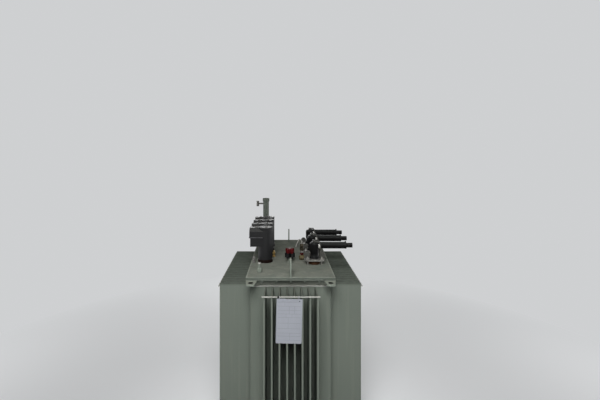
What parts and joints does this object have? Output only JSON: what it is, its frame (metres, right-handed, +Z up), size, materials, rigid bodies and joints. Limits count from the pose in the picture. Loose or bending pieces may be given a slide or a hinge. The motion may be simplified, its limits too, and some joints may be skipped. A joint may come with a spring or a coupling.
{
  "type": "power transformer",
  "caption": "Oil-filled three-phase distribution transformer with a corrugated-fin tank, covered low-voltage terminals and high-voltage cable elbows.",
  "frame": {"origin": "on the floor, under the middle of the tank", "axes": "+Z up, +Y along the tank away from the rating plate, +X towards the high-voltage side"},
  "size_m": [0.9136, 1.42, 1.4665],
  "materials": {
    "tank_paint": "satin grey-green paint",
    "hood_plastic": "black moulded plastic",
    "cap_plastic": "red moulded plastic",
    "elbow_rubber": "black moulded rubber",
    "gasket_rubber": "black sheet rubber",
    "brown_bushing": "dark brown glazed",
    "bright_steel": "bright plated steel",
    "brass_fitting": "dull brass",
    "rating_plate_metal": "pale anodised sheet, left bare"
  },
  "bodies": {
    "tank": {"bleed_plug": "brass_fitting", "cover_gasket": "gasket_rubber", "cover_plate": "tank_paint", "drain_valve": "tank_paint", "filler_cap": "tank_paint", "filler_pipe": "tank_paint", "filler_vent": "bright_steel", "front_fin_rod": "tank_paint", "front_fin_wall": "tank_paint", "hv_bushing_foot_1": "brown_bushing", "hv_bushing_foot_2": "brown_bushing", "hv_bushing_foot_3": "brown_bushing", "hv_clamp_1": "bright_steel", "hv_clamp_2": "bright_steel", "hv_clamp_3": "bright_steel", "hv_elbow_1": "elbow_rubber", "hv_elbow_2": "elbow_rubber", "hv_elbow_3": "elbow_rubber", "lashing_lug_front_left": "tank_paint", "lashing_lug_front_right": "tank_paint", "lashing_lug_rear_left": "tank_paint", "lashing_lug_rear_right": "tank_paint", "left_fin_rod": "tank_paint", "left_fin_wall": "tank_paint", "lifting_lug_front": "tank_paint", "lifting_lug_rear": "tank_paint", "lv_bushing_foot_1": "brown_bushing", "lv_bushing_foot_2": "brown_bushing", "lv_bushing_foot_3": "brown_bushing", "lv_bushing_foot_4": "brown_bushing", "lv_hood_1": "hood_plastic", "lv_hood_2": "hood_plastic", "lv_hood_3": "hood_plastic", "lv_hood_4": "hood_plastic", "rating_plate": "rating_plate_metal", "rating_plate_hanger": "bright_steel", "rear_fin_rod": "tank_paint", "rear_fin_wall": "tank_paint", "relief_valve": "brass_fitting", "relief_valve_lever": "bright_steel", "right_fin_rod": "tank_paint", "right_fin_wall": "tank_paint", "runner_left": "tank_paint", "runner_right": "tank_paint", "tank_body": "tank_paint", "tank_flange": "tank_paint", "tap_changer_base": "tank_paint", "thermometer_pocket": "tank_paint"},
    "tap_handle": {"tap_changer_knob": "hood_plastic", "tap_changer_cap": "cap_plastic"}
  },
  "joints": [
    {"name": "tap_handle_turn", "type": "hinge", "parent": "tank", "child": "tap_handle", "pos_m": [0, -0.2, 1.1162], "axis": [0, 0, 1], "range_deg": [-60, 60]}
  ]
}
